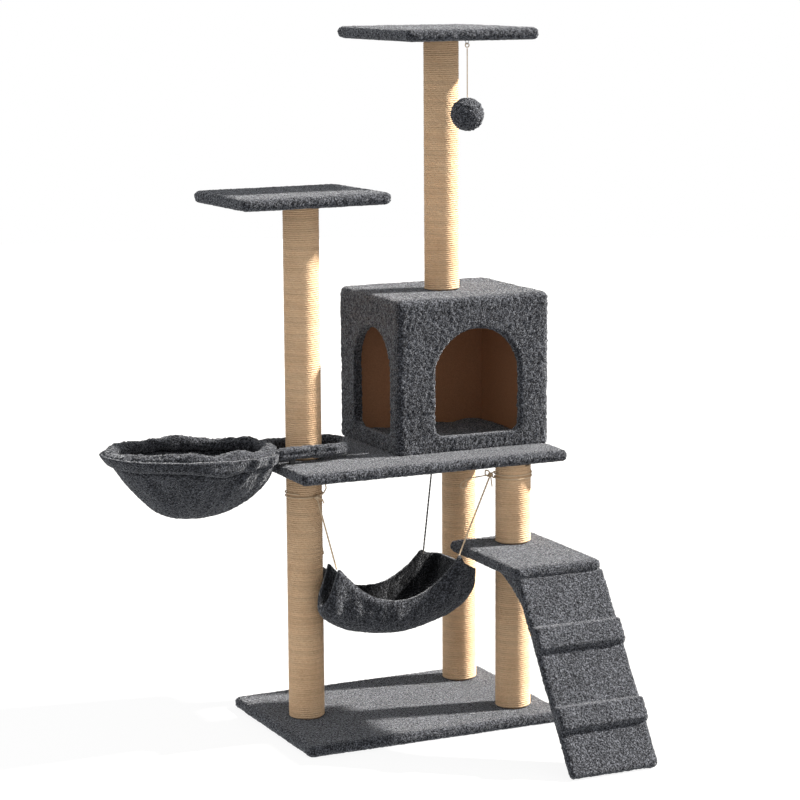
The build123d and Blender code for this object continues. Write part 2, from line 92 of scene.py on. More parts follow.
# ---- Materials -----------------------------------------------------------------------
class Shader:
    """A procedural material under construction."""

    MIX_FACTOR, MIX_A, MIX_B, MIX_COLOUR = 0, 6, 7, 2

    def __init__(self, name, roughness, specular=0.25, metallic=0.0):
        self.material = bpy.data.materials.new(name)
        self.material.use_nodes = True
        self.tree = self.material.node_tree
        self.bsdf = self.tree.nodes["Principled BSDF"]
        self.bsdf.inputs["Roughness"].default_value = roughness
        self.bsdf.inputs["Specular IOR Level"].default_value = specular
        self.bsdf.inputs["Metallic"].default_value = metallic
        self.place = self.node("ShaderNodeTexCoord").outputs["Object"]

    def node(self, kind, **values):
        made = self.tree.nodes.new(kind)
        for key, value in values.items():
            setattr(made, key, value)
        return made

    def link(self, a, b):
        self.tree.links.new(a, b)

    def noise(self, scale, detail=2.0, roughness=0.55, stretch=None):
        place = self.place
        if stretch:
            mapping = self.node("ShaderNodeMapping")
            mapping.inputs["Scale"].default_value = stretch
            self.link(place, mapping.inputs["Vector"])
            place = mapping.outputs["Vector"]
        made = self.node("ShaderNodeTexNoise")
        made.inputs["Scale"].default_value = scale
        made.inputs["Detail"].default_value = detail
        made.inputs["Roughness"].default_value = roughness
        self.link(place, made.inputs["Vector"])
        return made.outputs["Fac"]

    def math(self, operation, *terms):
        made = self.node("ShaderNodeMath", operation=operation)
        for value, socket in zip(terms, made.inputs):
            if isinstance(value, (int, float)):
                socket.default_value = value
            else:
                self.link(value, socket)
        return made.outputs[0]

    def ramp(self, factor, stops):
        made = self.node("ShaderNodeValToRGB")
        elements = made.color_ramp.elements
        while len(elements) < len(stops):
            elements.new(0.5)
        for element, (at, colour) in zip(elements, stops):
            element.position = at
            element.color = (*colour, 1.0)
        self.link(factor, made.inputs["Fac"])
        return made.outputs["Color"]

    def multiply(self, a, b):
        """One colour darkened by another."""
        made = self.node("ShaderNodeMix", data_type="RGBA", blend_type="MULTIPLY")
        made.inputs[self.MIX_FACTOR].default_value = 1.0
        self.link(a, made.inputs[self.MIX_A])
        self.link(b, made.inputs[self.MIX_B])
        return made.outputs[self.MIX_COLOUR]

    def colour(self, socket):
        self.link(socket, self.bsdf.inputs["Base Color"])

    def bump(self, height, distance, strength=1.0):
        made = self.node("ShaderNodeBump")
        made.inputs["Strength"].default_value = strength
        made.inputs["Distance"].default_value = distance
        self.link(height, made.inputs["Height"])
        self.link(made.outputs["Normal"], self.bsdf.inputs["Normal"])


def grey(value):
    return (value, value, value)


def plush_material(name, level=1.0):
    """Black pile with pale fleck tips; a lower level is a darker cloth, or a darker copy that stands for
    painted shade.
    """
    s = Shader(name, 1.0, 0.08)
    tips = s.ramp(s.noise(300, 3.0, 0.7), [(0.40, grey(0.05)), (0.62, grey(0.85))])
    s.link(tips, s.bsdf.inputs["Sheen Weight"])
    s.bsdf.inputs["Sheen Roughness"].default_value = 0.35
    s.bsdf.inputs["Sheen Tint"].default_value = (0.86, 0.89, 0.94, 1.0)
    stops = [
        (0.36, (0.005, 0.005, 0.007)),
        (0.50, (0.031, 0.033, 0.039)),
        (0.63, (0.176, 0.186, 0.214)),
    ]
    stops = [(at, tuple(value * level for value in colour)) for at, colour in stops]
    flecks = s.ramp(s.noise(330, 4.0, 0.68), stops)
    worn = s.ramp(s.noise(26, 3.0), [(0.3, grey(0.72)), (0.7, grey(1.0))])
    s.colour(s.multiply(flecks, worn))
    s.bump(s.noise(280, 4.0, 0.66), 0.005)
    return s.material


def sisal_material():
    """Pale fibres, with a fine relief of the rope's own twist."""
    s = Shader("sisal", 0.82, 0.2)
    split = s.node("ShaderNodeSeparateXYZ")
    s.link(s.place, split.inputs[0])
    x, y, z = split.outputs
    phase_per_radian, phase_per_metre = 17.0, 1900
    around = s.math("MULTIPLY", s.math("ARCTAN2", y, x), phase_per_radian)
    twist = s.math("SINE", s.math("ADD", around, s.math("MULTIPLY", z, phase_per_metre)))
    fibre = s.noise(520, 4.0, 0.75, (1, 1, 2.2))
    tone = s.ramp(
        fibre,
        [(0.30, (0.44, 0.275, 0.155)), (0.5, (0.81, 0.570, 0.355)), (0.74, (0.95, 0.77, 0.55))],
    )
    bands = s.ramp(s.noise(9, 4.0, 0.7, (0.5, 0.5, 14)), [(0.34, grey(0.80)), (0.6, grey(1.0))])
    patches = s.ramp(s.noise(14, 2.0), [(0.3, (0.93, 0.88, 0.84)), (0.7, grey(1.0))])
    s.colour(s.multiply(s.multiply(tone, bands), patches))
    s.bump(s.math("ADD", s.math("MULTIPLY", twist, 0.12), fibre), 0.0012)
    return s.material


def fibre_material(name, dark, light):
    s = Shader(name, 0.85, 0.2)
    fibre = s.noise(1100, 3.0, 0.7)
    s.colour(s.ramp(fibre, [(0.3, dark), (0.72, light)]))
    s.bump(fibre, 0.0006, 0.8)
    return s.material


def board_material(name, dark, middle, light, scale, stretch=None):
    s = Shader(name, 0.8, 0.2)
    chips = s.noise(scale, 5.0, 0.65, stretch)
    s.colour(s.ramp(chips, [(0.3, dark), (0.5, middle), (0.72, light)]))
    s.bump(chips, 0.0004, 0.5)
    return s.material


def metal_material(name, dark, light, metallic, roughness):
    s = Shader(name, roughness, 0.5, metallic)
    s.colour(s.ramp(s.noise(160, 4.0, 0.6), [(0.3, dark), (0.7, light)]))
    s.bump(s.noise(700, 2.0), 0.0001, 0.3)
    return s.material


PLUSH = plush_material("plush")
CLOTH = plush_material("plush_cloth", 0.80)
# A darker copy of the cloth, used as painted shade for the hammock's hollow inside.
INNER_PAINTED_SHADE = plush_material("plush_inner_painted_shade", 0.30)
SISAL = sisal_material()
JUTE = fibre_material("jute_cord", (0.48, 0.33, 0.20), (0.86, 0.70, 0.50))
# A darker copy of the jute: painted shade for the back-right cord, which hangs in shade under the
# platform.
PAINTED_SHADE_CORD = fibre_material("cord_painted_shade", (0.020, 0.019, 0.018), (0.085, 0.080, 0.075))
CARDBOARD = board_material(
    "cardboard", (0.25, 0.15, 0.08), (0.34, 0.22, 0.13), (0.42, 0.29, 0.18), 90, (1, 1, 0.2)
)
CHIPBOARD = board_material(
    "chipboard", (0.29, 0.138, 0.070), (0.36, 0.178, 0.092), (0.43, 0.222, 0.118), 520
)
PINE = board_material("pine", (0.50, 0.32, 0.16), (0.62, 0.43, 0.24), (0.72, 0.54, 0.33), 40, (6, 6, 0.6))
BLACK_WIRE = metal_material("black_wire", (0.012, 0.012, 0.013), (0.03, 0.03, 0.032), 0.0, 0.45)
ZINC = metal_material("zinc_steel", (0.48, 0.50, 0.52), (0.70, 0.72, 0.74), 1.0, 0.36)
BY_SLOT = {
    "plush": PLUSH, "sisal": SISAL, "jute_cord": JUTE, "cardboard": CARDBOARD,
    "chipboard": CHIPBOARD, "pine": PINE, "black_wire": BLACK_WIRE, "zinc_steel": ZINC,
}


# ---- Meshes --------------------------------------------------------------------------
def add_mesh(name, points, faces, material, body=None, replaces=()):
    """A smooth mesh piece from points in metres."""
    mesh = bpy.data.meshes.new(name)
    mesh.from_pydata([tuple(p) for p in points], [], [tuple(f) for f in faces])
    mesh.validate()
    mesh.shade_smooth()
    piece = bpy.data.objects.new(name, mesh)
    bpy.context.scene.collection.objects.link(piece)
    mesh.materials.append(material)
    if replaces:
        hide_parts(*replaces)
    if body:
        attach(piece, body)
    return piece


def fluff(piece, rim=1.3, face=0.7, size=5.0, low=None, seed=0.0, out=0.8):
    """Pile of about this size (mm): every point moves along its normal by noise of three sizes.

    It moves by rim on upright faces and by face on flat ones, and out is a steady lift.
    """
    mesh = piece.data
    co = np.empty(len(mesh.vertices) * 3)
    mesh.vertices.foreach_get("co", co)
    co = co.reshape(-1, 3)
    normals = np.empty(len(co) * 3)
    mesh.vertex_normals.foreach_get("vector", normals)
    normals = normals.reshape(-1, 3)
    shift = Vector((seed, seed * 0.7, -seed))
    tuft = 1 / (size * MM)
    pile = np.array(
        [
            noise.noise(Vector(p) * tuft + shift) * 0.6
            + noise.noise(Vector(p) * (tuft * 2.1) - shift) * 0.4
            + noise.noise(Vector(p) * (tuft * 0.14) + shift) * 0.35
            for p in co
        ]
    )
    amount = (rim + (face - rim) * np.abs(normals[:, 2]) ** 2) * MM * 2.0
    co = co + normals * (pile * amount + out * MM)[:, None]
    if low is not None:
        co[:, 2] = np.maximum(co[:, 2], low)
    mesh.vertices.foreach_set("co", co.ravel())
    mesh.update()


def box_grid(counts):
    """The surface of a box as whole-number stations, and its square faces."""
    quads = []
    for axis in range(3):
        a, b = [n for n in range(3) if n != axis]
        u, v = np.meshgrid(np.arange(counts[a] + 1), np.arange(counts[b] + 1), indexing="ij")
        for side in (0, counts[axis]):
            grid = np.zeros(u.shape + (3,), int)
            grid[..., a], grid[..., b], grid[..., axis] = u, v, side
            corners = [grid[:-1, :-1], grid[1:, :-1], grid[1:, 1:], grid[:-1, 1:]]
            if (side > 0) == (axis == 1):
                corners.reverse()
            quads.append(np.stack(corners, 2).reshape(-1, 4, 3))
    quads = np.concatenate(quads)
    stations, faces = np.unique(quads.reshape(-1, 3), axis=0, return_inverse=True)
    return stations, faces.reshape(-1, 4)


def soft_slab(size, low, round_plan, round_rim, step):
    """Points (mm) and faces of a slab with rounded upright corners and rounded rims."""
    x0, x1, y0, y1, high = size
    lo, hi = np.array([x0, y0, low], float), np.array([x1, y1, high], float)
    counts = [int(ceil((b - a) / step)) for a, b in zip(lo, hi)]
    stations, faces = box_grid(counts)
    co = lo + (hi - lo) * stations / np.array(counts)
    radius = np.array([round_plan, round_plan, round_rim], float)
    core = np.clip(co, lo + radius, hi - radius)
    away = (co - core) / radius
    length = np.linalg.norm(away, axis=1)
    length[length < 1e-9] = 1.0
    pull = np.where(length > 1, 1 / length, 1.0)
    return core + away * radius * pull[:, None], faces


def deck(name, size, turn=0.0, low=None, seed=0.0):
    """A deck's plush cover, turned by so many degrees about the left post."""
    co, faces = soft_slab(size, size[4] - DECK, DECK_CORNER, DECK_RIM, step=3.2)
    if turn:
        c, s = cos(radians(turn)), sin(radians(turn))
        rel = co[:, :2] - np.array(LEFT_POST)
        co[:, 0] = LEFT_POST[0] + rel[:, 0] * c - rel[:, 1] * s
        co[:, 1] = LEFT_POST[1] + rel[:, 0] * s + rel[:, 1] * c
    piece = add_mesh(f"{name}_plush", co * MM, faces, PLUSH, "stand", [f"{name}_cover"])
    fluff(piece, rim=1.8, face=0.7, low=low, seed=seed)


def tube(path, radius, sides=10, closed=False, shape=None):
    """Points and faces of a tube along a path (mm). shape(n, angle) scales the radius."""
    path = np.array(path, float)
    count = len(path)
    if closed:
        ahead = np.roll(path, -1, 0) - np.roll(path, 1, 0)
    else:
        ahead = np.gradient(path, axis=0)
    ahead /= np.linalg.norm(ahead, axis=1)[:, None]
    up = np.array([0.0, 0.0, 1.0])
    if abs(ahead[0] @ up) > 0.9:
        up = np.array([1.0, 0.0, 0.0])
    co = []
    for n in range(count):
        side = np.cross(ahead[n], up)
        side /= np.linalg.norm(side)
        over = np.cross(side, ahead[n])
        for k in range(sides):
            a = 2 * pi * k / sides
            r = radius * (shape(n, a) if shape else 1.0)
            co.append(path[n] + side * r * cos(a) + over * r * sin(a))
    faces = []
    for n in range(count if closed else count - 1):
        m = (n + 1) % count
        for k in range(sides):
            j = (k + 1) % sides
            faces.append((n * sides + k, n * sides + j, m * sides + j, m * sides + k))
    if not closed:
        faces.append(tuple(range(sides))[::-1])
        faces.append(tuple((count - 1) * sides + k for k in range(sides)))
    return np.array(co), faces


def between_rows(rows, count):
    """The square faces between closed rows of points, and one face that closes the last row."""
    faces = []
    for row in range(rows - 1):
        for k in range(count):
            here = row * count + k
            beside = row * count + (k + 1) % count
            faces.append((here, here + count, beside + count, beside))
    last = tuple((rows - 1) * count + k for k in range(count))[::-1]
    return faces, last


def relax(line, times):
    """Smooths a line of points or values in place; its ends stay."""
    for _ in range(times):
        line[1:-1] = (line[:-2] + line[1:-1] * 2 + line[2:]) / 4


def bake(piece):
    """Turns the piece's modifiers into its mesh."""
    depsgraph = bpy.context.evaluated_depsgraph_get()
    mesh = bpy.data.meshes.new_from_object(piece.evaluated_get(depsgraph))
    piece.modifiers.clear()
    piece.data = mesh
    mesh.shade_smooth()


def remesh(piece, voxel):
    """Rebuilds the piece from voxels of this size (mm) and softens it."""
    made = piece.modifiers.new("remesh", "REMESH")
    made.mode = "VOXEL"
    made.voxel_size = voxel * MM
    soft = piece.modifiers.new("soft", "SMOOTH")
    soft.factor = 0.5
    soft.iterations = 3
    bake(piece)


def thicken(piece, thickness):
    """Gives a surface this thickness (mm) on its outer side."""
    thick = piece.modifiers.new("thick", "SOLIDIFY")
    thick.thickness = thickness * MM
    thick.offset = 1.0
    return thick


def step_up(value, a, b):
    """0 before a, 1 after b, smooth between."""
    t = np.clip((value - a) / (b - a), 0, 1)
    return t * t * (3 - 2 * t)


def bell(value, centre, width):
    """1 at the centre, falling away smoothly on both sides."""
    return np.exp(-(((value - centre) / width) ** 2))


# ---- Posts ---------------------------------------------------------------------------
def top_of(lower_deck):
    return lower_deck[4]


def under(upper_deck):
    return upper_deck[4] - DECK


def sisal_post(name, at, z0, z1):
    """One length of rope wound from end to end."""
    around, sides = 44, 6
    wound_length = z1 - z0 - 2 * ROPE_R
    steps = int(wound_length / ROPE_PITCH * around)
    n = np.arange(steps + 1)
    angle = 2 * pi * n / around
    height = ROPE_R + n / steps * wound_length
    places = [Vector((cos(a) * 2, sin(a) * 2, h * 0.09)) for a, h in zip(angle, height)]
    wobble = np.array([noise.noise(place) for place in places])
    r = POST_R - ROPE_R + wobble * 0.30
    path = np.stack([r * np.cos(angle), r * np.sin(angle), height + wobble * 0.5], 1)
    out = np.stack([np.cos(angle), np.sin(angle), 0 * angle], 1)
    up = np.array([0, 0, 1.0])
    co = []
    for k in range(sides):
        a = 2 * pi * k / sides
        co.append(path + out * ROPE_R * cos(a) + up * ROPE_R * sin(a))
    co = np.stack(co, 1).reshape(-1, 3)
    base = (np.arange(steps) * sides)[:, None]
    k = np.arange(sides)[None, :]
    j = (k + 1) % sides
    faces = np.stack([base + k, base + sides + k, base + sides + j, base + j], 2).reshape(-1, 4)
    piece = add_mesh(
        f"{name}_rope", co * MM, faces, SISAL, replaces=[f"{name}_sisal"]
    )
    piece.location = (at[0] * MM, at[1] * MM, z0 * MM)
    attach(piece, "stand")


# ---- House ---------------------------------------------------------------------------
def house():
    """The house's cover: the CAD cover remeshed, so that its edges are soft, with pile on it."""
    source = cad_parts["house_cover"]
    piece = source.copy()
    piece.data = source.data.copy()
    piece.name = "house_plush"
    for key in [k for k in piece.keys() if k.startswith("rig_")]:
        del piece[key]
    world = source.matrix_world.copy()
    piece.parent = None
    piece.data.transform(world)
    piece.matrix_world = Matrix.Identity(4)
    bpy.context.scene.collection.objects.link(piece)
    piece.data.materials.clear()
    piece.data.materials.append(PLUSH)
    remesh(piece, voxel=3.0)
    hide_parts("house_cover")
    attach(piece, "stand")
    fluff(piece, rim=1.4, face=0.9, size=5.5, seed=3.0, out=1.6)


def floor_pad():
    co, faces = soft_slab(PAD, PAD_LOW, round_plan=10, round_rim=5, step=3.5)
    lumps = np.array([noise.noise(Vector((p[0], p[1], 0)) * 0.022) for p in co])
    top = step_up(co[:, 2], PAD[4] - 8, PAD[4] - 1)
    co[:, 2] += top * (lumps * 5.0 - 1.0)
    piece = add_mesh("house_pad_plush", co * MM, faces, PLUSH, "stand", ["house_floor_pad"])
    fluff(piece, rim=1.0, face=1.1, size=6.0, seed=5.0)


# ---- Ramp ----------------------------------------------------------------------------
def ramp_point(across, along, out):
    """From the ramp's own directions to the row frame, in mm."""
    y = RAMP_PIN[0] - along * cos(RAMP_SLOPE) - out * sin(RAMP_SLOPE)
    z = RAMP_PIN[1] - along * sin(RAMP_SLOPE) + out * cos(RAMP_SLOPE)
    return np.stack([across, y, z], -1)


def ramp():
    """The ramp's cover, with a rise over each cleat."""
    edge_along = PIN_BELOW * sin(RAMP_SLOPE) - PIN_BEHIND * cos(RAMP_SLOPE)
    start_along = -2.5
    size = (*RAMP_X, start_along, RAMP_LENGTH, RAMP_FACE)
    co, faces = soft_slab(size, RAMP_FACE - RAMP_T, round_plan=9, round_rim=7, step=3.0)
    top = step_up(co[:, 2], RAMP_FACE - 8, RAMP_FACE - 4)
    for start in CLEATS:
        s = co[:, 1] + edge_along
        rise = step_up(s, start - 3, start + 5)
        rise *= 1 - step_up(s, start + CLEAT_W - 4, start + CLEAT_W + 2)
        co[:, 2] += top * rise * CLEAT_H
    world = ramp_point(co[:, 0], co[:, 1], co[:, 2])
    piece = add_mesh("ramp_plush", world * MM, faces[:, ::-1], PLUSH, "ramp", ["ramp_cover"])
    fluff(piece, rim=1.3, face=1.0, low=FLOOR_Z, seed=7.0)


def ramp_gusset():
    """Plush that closes the corner between the step's underside and the back of the ramp."""
    stations, reach = 60, 84
    step_under = STEP[4] - DECK
    ramp_back = RAMP_FACE - RAMP_T
    corner = np.array([RAMP_PIN[0] + 9, step_under + 3.0])
    back = np.array([RAMP_PIN[0] + reach, step_under + 2.5])
    low = ramp_point(0.0, 56.0, ramp_back + 3.0)[1:]
    mid = ramp_point(0.0, 10.0, ramp_back + 6.0)[1:]
    control = ramp_point(0.0, 8.0, ramp_back - 6.0)[1:]
    t = np.linspace(0, 1, 16)[:, None]
    curve = (1 - t) ** 2 * back + 2 * t * (1 - t) * control + t**2 * low
    section = np.concatenate([curve, [mid, corner]])
    xs = np.linspace(RAMP_X[0] + 1, RAMP_X[1] - 1, stations)
    co = np.array([(x, y, z) for x in xs for y, z in section])
    faces, last = between_rows(stations, len(section))
    faces += [tuple(range(len(section))), last]
    piece = add_mesh("ramp_gusset_plush", co * MM, faces, PLUSH)
    remesh(piece, voxel=2.6)
    fluff(piece, rim=1.0, face=1.0, seed=9.0)
    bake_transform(piece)


def hinge_bead():
    """A roll of plush along the hinge line, where the step's cover runs on into the ramp's."""
    xs = np.linspace(RAMP_X[0] + 3, RAMP_X[1] - 3, 62)
    path = [(x, RAMP_PIN[0] + 1.0, RAMP_PIN[1] - 3.0) for x in xs]
    co, faces = tube(path, 7.5, 20)
    piece = add_mesh("ramp_hinge_plush", co * MM, faces, PLUSH, "stand")
    fluff(piece, rim=0.8, face=0.8, size=4.5, seed=10.0, out=0.0)


# ---- Basket --------------------------------------------------------------------------
def outward(x, y):
    """The direction away from the ring's centreline at a point of its plane."""
    return Vector((x / RING_A**2, y / RING_B**2)).normalized()


def ring(angle, out=0.0):
    """The ring's centreline in its own plane, or a line outside it."""
    power = 2 / RING_POWER
    c, s = cos(angle), sin(angle)
    x = RING_A * np.sign(c) * abs(c) ** power
    y = RING_B * np.sign(s) * abs(s) ** power
    way = outward(x, y)
    return x + way.x * out, y + way.y * out


def in_ring(co):
    """From the tilted ring's own axes to the row frame, in mm."""
    co = np.array(co, float)
    c, s = cos(radians(RING_TILT)), sin(radians(RING_TILT))
    along = RING_X - TILT_X + co[:, 0]
    return np.stack(
        [
            LEFT_POST[0] + TILT_X + along * c + co[:, 2] * s,
            LEFT_POST[1] + co[:, 1],
            ARM_Z - along * s + co[:, 2] * c,
        ],
        1,
    )


def basket_roll():
    """The padded rim: lumpy, with a seam along it, lower on the side away from the post."""
    count, sides = 340, 34
    angles = np.arange(count) * 2 * pi / count
    path = [(*ring(a), 0.0) for a in angles]

    def lumpy(n, around):
        a = angles[n]
        lump = noise.noise(Vector((cos(a) * 5.5, sin(a) * 5.5, cos(around) * 0.8))) * 0.30
        seam = 0.10 * bell((around - radians(250)) % (2 * pi), pi, 0.28)
        return 1.0 + lump - seam

    co, faces = tube(path, ROLL_R, sides, True, lumpy)
    droop = np.array([noise.noise(Vector((p[0], p[1], 7)) * 0.017) for p in co])
    co[:, 2] += droop * 6.5
    far_side = step_up(-co[:, 0], 120, 172)
    co[:, 2] = co[:, 2] * (1 - 0.30 * far_side) - 4.0 * far_side
    piece = add_mesh(
        "basket_roll_plush", in_ring(co) * MM, faces, CLOTH, "stand", ["basket_ring_roll"]
    )
    fluff(piece, rim=1.9, face=1.9, seed=11.0)
    return piece


def bag_push(a, below):
    """How far the bag's cloth stands out from its cone, at an angle and a depth below the roll."""
    degrees = (a * 180 / pi + 180) % 360 - 180
    flap_at, dent_at = -84, -117
    c, s = cos(a), sin(a)
    hem = 17 + 9 * bell(degrees, flap_at, 13) + 2 * noise.noise(Vector((c * 3, s * 3, 5)))
    push = 4.2 * (1 - step_up(below, hem - 1, hem + 1.5)) - 3.0 * bell(below, hem + 4, 3)
    push += 5.0 * bell(degrees, flap_at, 12) * bell(below, hem - 5, 8)
    push -= 9.0 * bell(degrees, dent_at - below * 0.05, 4.5) * bell(below, 60, 32)
    for height, fold_at, drift, width, starts, ends in (
        (9.0, -58, 0.22, 3.2, 34, 62),
        (7.0, -38, 0.16, 3.0, 30, 52),
    ):
        push += height * bell(degrees, fold_at - below * drift, width) * (1 - step_up(below, starts, ends))
    wide = noise.noise(Vector((c * 2.2, s * 2.2, -below * 0.012)))
    small = noise.noise(Vector((c * 6, s * 6, -below * 0.010 + 4)))
    push += 8.0 * wide * step_up(below, 18, 60)
    push += 5.0 * small * step_up(below, 20, 50)
    return push


def basket_bag():
    """The hanging bag: a slanting cone with a small flat floor, a hem band and loose folds."""
    profile = np.array(
        [
            (1.0, 0), (0.97, -12), (0.885, -31), (0.735, -63), (0.555, -92), (0.40, -109),
            (0.25, -118), (0.02, -BAG_DEPTH + 2.5),
        ]
    )
    size = (RING_A + ROLL_R + RING_B) / 2
    pieces = np.hypot(np.diff(profile[:, 0] * size), np.diff(profile[:, 1]))
    run = np.concatenate([[0], np.cumsum(pieces)])
    rows, count = int(run[-1] / 2.6), 330
    at = np.linspace(0, run[-1], rows)
    scale = np.interp(at, run, profile[:, 0])
    depth = np.interp(at, run, profile[:, 1])
    relax(scale, 14)
    relax(depth, 14)
    co = []
    for r, z in zip(scale, depth):
        slant = BAG_SLANT * sin(pi * min(1, -z / BAG_DEPTH))
        for k in range(count):
            a = 2 * pi * k / count
            x, y = ring(a, ROLL_R - 3.5)
            push = bag_push(a, -z) * min(1.0, r * 1.6)
            way = outward(x, y)
            co.append((x * r + way.x * push + slant, y * r + way.y * push, z))
    faces, last = between_rows(rows, count)
    piece = add_mesh("basket_bag_plush", in_ring(co) * MM, faces + [last], CLOTH)
    thicken(piece, BAG_CLOTH)
    bake(piece)
    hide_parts("basket_bag")
    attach(piece, "stand")
    fluff(piece, rim=0.8, face=0.8, seed=13.0)
    return piece


def basket_sleeve():
    """The plush sleeve over the arm: a flattened roll with a seam along its outer side."""
    start, turn, spread = -80, 36, 50
    straight = np.arange(start, turn, 3.0)
    bend = np.linspace(-pi / 2, pi / 2, 52)
    path = [(x, -spread, 0) for x in straight]
    path += [(turn + spread * cos(a), spread * sin(a), 0) for a in bend]
    path += [(x, spread, 0) for x in straight[::-1]]
    path = np.array(path, float) + np.array([LEFT_POST[0], LEFT_POST[1], ARM_Z])

    def seamed(n, around):
        groove = 0.30 * bell((around + pi) % (2 * pi), pi, 0.26)
        lump = noise.noise(Vector(path[n]) * 0.045 + Vector((0, 0, cos(around)))) * 0.16
        end = min(1.0, 0.55 + min(n, len(path) - 1 - n) * 0.12)
        return (1.0 - groove + lump) * end

    co, faces = tube(path, SLEEVE_R, 26, False, seamed)
    co[:, 2] = ARM_Z - 3 + (co[:, 2] - ARM_Z) * 1.22
    piece = add_mesh(
        "basket_sleeve_plush", co * MM, faces, PLUSH, "stand", ["basket_arm_sleeve"]
    )
    fluff(piece, rim=1.2, face=1.2, size=4.5, seed=15.0)


# ---- Hammock -------------------------------------------------------------------------
def rounded_outline(corners, radius, step):
    """Points round a polygon with rounded corners."""
    path = []
    count = len(corners)
    for n in range(count):
        before, here, after = (np.array(corners[(n + d) % count], float) for d in (-1, 0, 1))
        a = here + (before - here) / np.linalg.norm(before - here) * radius
        b = here + (after - here) / np.linalg.norm(after - here) * radius
        for t in np.linspace(0, 1, 7):
            path.append((1 - t) ** 2 * a + 2 * t * (1 - t) * here + t**2 * b)
    path = np.array(path + [path[0]])
    run = np.concatenate([[0], np.cumsum(np.linalg.norm(np.diff(path, axis=0), axis=1))])
    at = np.linspace(0, run[-1], int(run[-1] / step), endpoint=False)
    return np.stack([np.interp(at, run, path[:, 0]), np.interp(at, run, path[:, 1])], 1)


def rim_height(x, y):
    """The height of the cloth's rim: raised at the ties, sagging between them."""
    tie0, tie1 = TIES_X
    back = (y - CLOTH_Y[0]) / (CLOTH_Y[1] - CLOTH_Y[0])
    left_tie = TIE_Z + 5 * back
    right_tie = TIE_Z - 24.0 * back
    if x < tie0:
        return np.interp(x, [CLOTH_X[0], tie0], [LEFT_END_Z, left_tie])
    if x > tie1:
        heights = [right_tie, RIGHT_END_Z + 10 - 8 * back, RIGHT_END_Z]
        return np.interp(x, [tie1, tie1 + 13, CLOTH_X[1]], heights)
    t = (x - tie0) / (tie1 - tie0)
    ends = left_tie * (1 - t) + right_tie * t
    return ends - (RIM_SAG - 2 * back) * (1 - abs(2 * t - 1) ** 2.1)


def hammock_cloth():
    """The cloth as rows of points from its rim down to its belly, with an outline cut round the post."""
    outline = rounded_outline(
        [
            (CLOTH_X[0], CLOTH_Y[0]), (CLOTH_X[1], CLOTH_Y[0]), (CLOTH_X[1], CLOTH_Y[1]),
            (CLOTH_PAST_POST[0], CLOTH_Y[1]), CLOTH_PAST_POST, (CLOTH_X[0], CLOTH_PAST_POST[1]),
        ],
        CLOTH_CORNER, 2.7,
    )
    centre = np.array(BELLY_AT)
    rows, power = 64, 2 / 3.6
    co = []
    for n in range(rows):
        phi = pi / 2 * (n / (rows - 1)) * 0.995
        w, drop = cos(phi) ** power, sin(phi) ** power
        for x, y in outline:
            px, py = centre + (np.array([x, y]) - centre) * w
            belly = BELLY_Z + BELLY_RISE * (abs(px - BELLY_AT[0]) / BELLY_HALF) ** 2.0
            z = belly + (rim_height(x, y) - belly) * (1 - drop)
            wide = noise.noise(Vector((px * 0.016, py * 0.02, 3)))
            small = noise.noise(Vector((px * 0.045, z * 0.012, 8)))
            pull = step_up(drop, 0.05, 0.4) * (1 - step_up(drop, 0.85, 1.0)) if w < 1 else 0
            co.append((px, py + (wide * 7 + small * 3) * pull, z))
    faces, last = between_rows(rows, len(outline))
    piece = add_mesh("hammock_plush", np.array(co) * MM, faces + [last], CLOTH)
    # The shell that solidify adds takes the darker copy of the cloth: painted shade meant for the
    # hammock's hollow inside.
    thicken(piece, CLOTH_T).material_offset = 1
    piece.data.materials.append(INNER_PAINTED_SHADE)
    bake(piece)
    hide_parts("hammock_cloth")
    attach(piece, "hammock")
    fluff(piece, rim=0.9, face=0.9, seed=17.0)
    return piece


# Each cord runs from the cloth to a knot on a post.
CORDS = {
    "hammock_cord_front_left": ((-180, -113, 339), (-186, -36, 465), JUTE),
    "hammock_cord_front_right": ((76, -120, 340), (160, -91, 488), JUTE),
    "hammock_cord_back_left": ((-142, 38, 334), (-169, 34, 472), JUTE),
    # The back-right cord and its knot take the darker copy of the jute: painted shade.
    "hammock_cord_back_right": ((73, 34, 312), (143, 128, 500), PAINTED_SHADE_CORD),
}


def strand(n, around):
    """Two twisted plies."""
    return 1.0 + 0.13 * cos(2 * (around - n * 0.42))


def hammock_cords():
    for name, (low, high, material) in CORDS.items():
        a, b = np.array(high, float), np.array(low, float)
        length = np.linalg.norm(b - a)
        steps = int(length / 1.1)
        path = a + (b - a) * np.linspace(0, 1, steps)[:, None]
        co, faces = tube(path, CORD_R, shape=strand)
        piece = add_mesh(f"{name}_strand", co * MM, faces, material, None, [name])
        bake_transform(piece)


def wound(name, at, z, turns, start, rise=3.4):
    """A cord wound round a post, rising by so much in each turn."""
    t = np.linspace(0, turns, int(80 * turns))
    a = start + 2 * pi * t
    r = WRAP_R + 0.3 * np.sin(a * 3)
    height = z + rise * t + 0.8 * np.sin(a)
    path = np.stack([at[0] + r * np.cos(a), at[1] + r * np.sin(a), height], 1)
    co, faces = tube(path, 1.2, shape=strand)
    return add_mesh(name, co * MM, faces, JUTE, "stand")


def loose(name, start, steps, radius=1.2):
    """A short loose length of cord, through the start and these steps away from it."""
    points = np.array(start, float) + np.array([(0, 0, 0), *steps], float)
    t = np.linspace(0, len(points) - 1, 60)
    smooth = np.stack([np.interp(t, np.arange(len(points)), points[:, k]) for k in range(3)], 1)
    relax(smooth, 12)
    co, faces = tube(smooth, radius, shape=strand)
    add_mesh(name, co * MM, faces, JUTE, "stand")


